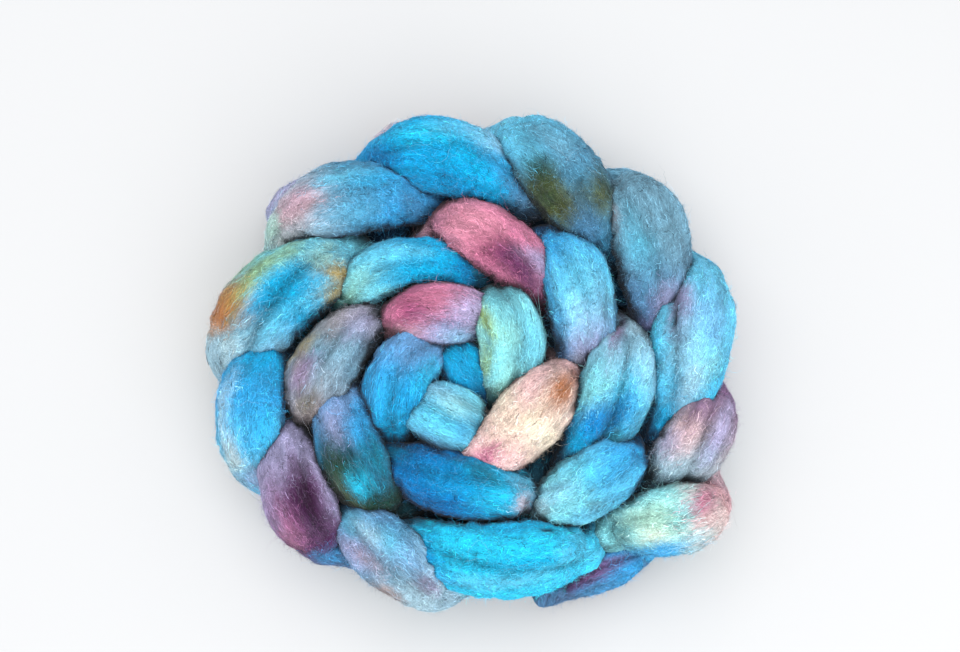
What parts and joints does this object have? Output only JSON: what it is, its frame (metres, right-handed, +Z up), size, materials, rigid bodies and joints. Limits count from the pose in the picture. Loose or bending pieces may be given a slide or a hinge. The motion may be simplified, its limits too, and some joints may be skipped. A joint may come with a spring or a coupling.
{
  "type": "wool roving",
  "caption": "Hand-dyed combed wool top, chained into a plump braid and wound into a flat round coil that lies on its back.",
  "frame": {"origin": "bottom centre of the coil's box, on the surface it lies on", "axes": "+Z up out of the coil's face, +X to the right seen from above with the outer end towards -Y"},
  "size_m": [0.2038, 0.199, 0.0556],
  "materials": {
    "wool": "matte, fuzzy combed wool, hand-dyed in turquoise, blue, aqua, mint, lilac, rose, cream and olive"
  },
  "bodies": {
    "root": {"roving_coil": "wool"}
  },
  "joints": []
}
